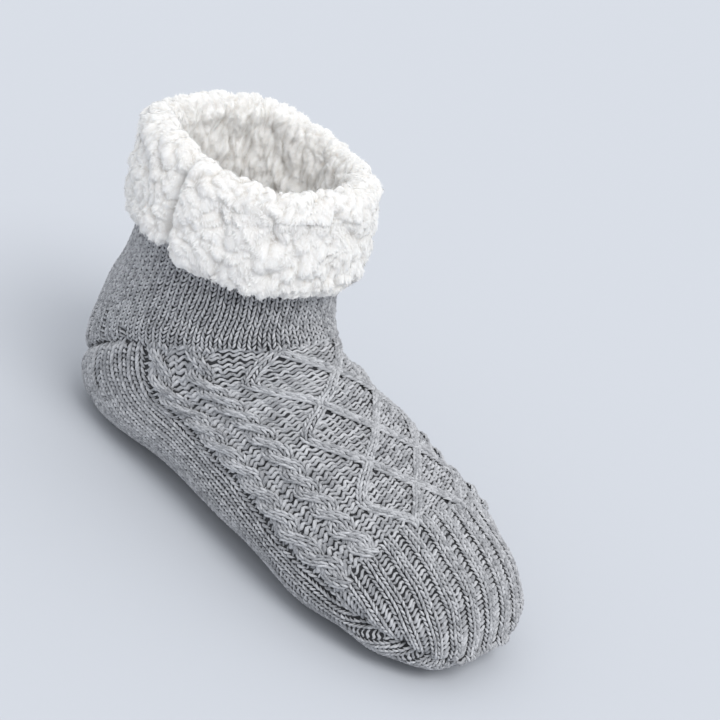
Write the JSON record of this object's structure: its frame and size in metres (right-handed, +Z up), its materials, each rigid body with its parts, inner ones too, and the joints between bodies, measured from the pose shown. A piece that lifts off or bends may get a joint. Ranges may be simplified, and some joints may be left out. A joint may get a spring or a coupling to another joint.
{
  "type": "slipper sock",
  "caption": "Knitted slipper sock with cables and a diamond lattice on the instep, and a turned-down sherpa cuff.",
  "frame": {"origin": "on the floor under the middle of the whole sock", "axes": "+X towards the toe, +Y towards the wearer's left, +Z up"},
  "size_m": [0.2426, 0.1058, 0.1517],
  "materials": {
    "knit": "heathered acrylic knit, matt",
    "fleece": "curly sherpa pile, matt"
  },
  "bodies": {
    "root": {"knit_upper": "knit", "fleece_cuff": "fleece"}
  },
  "joints": []
}
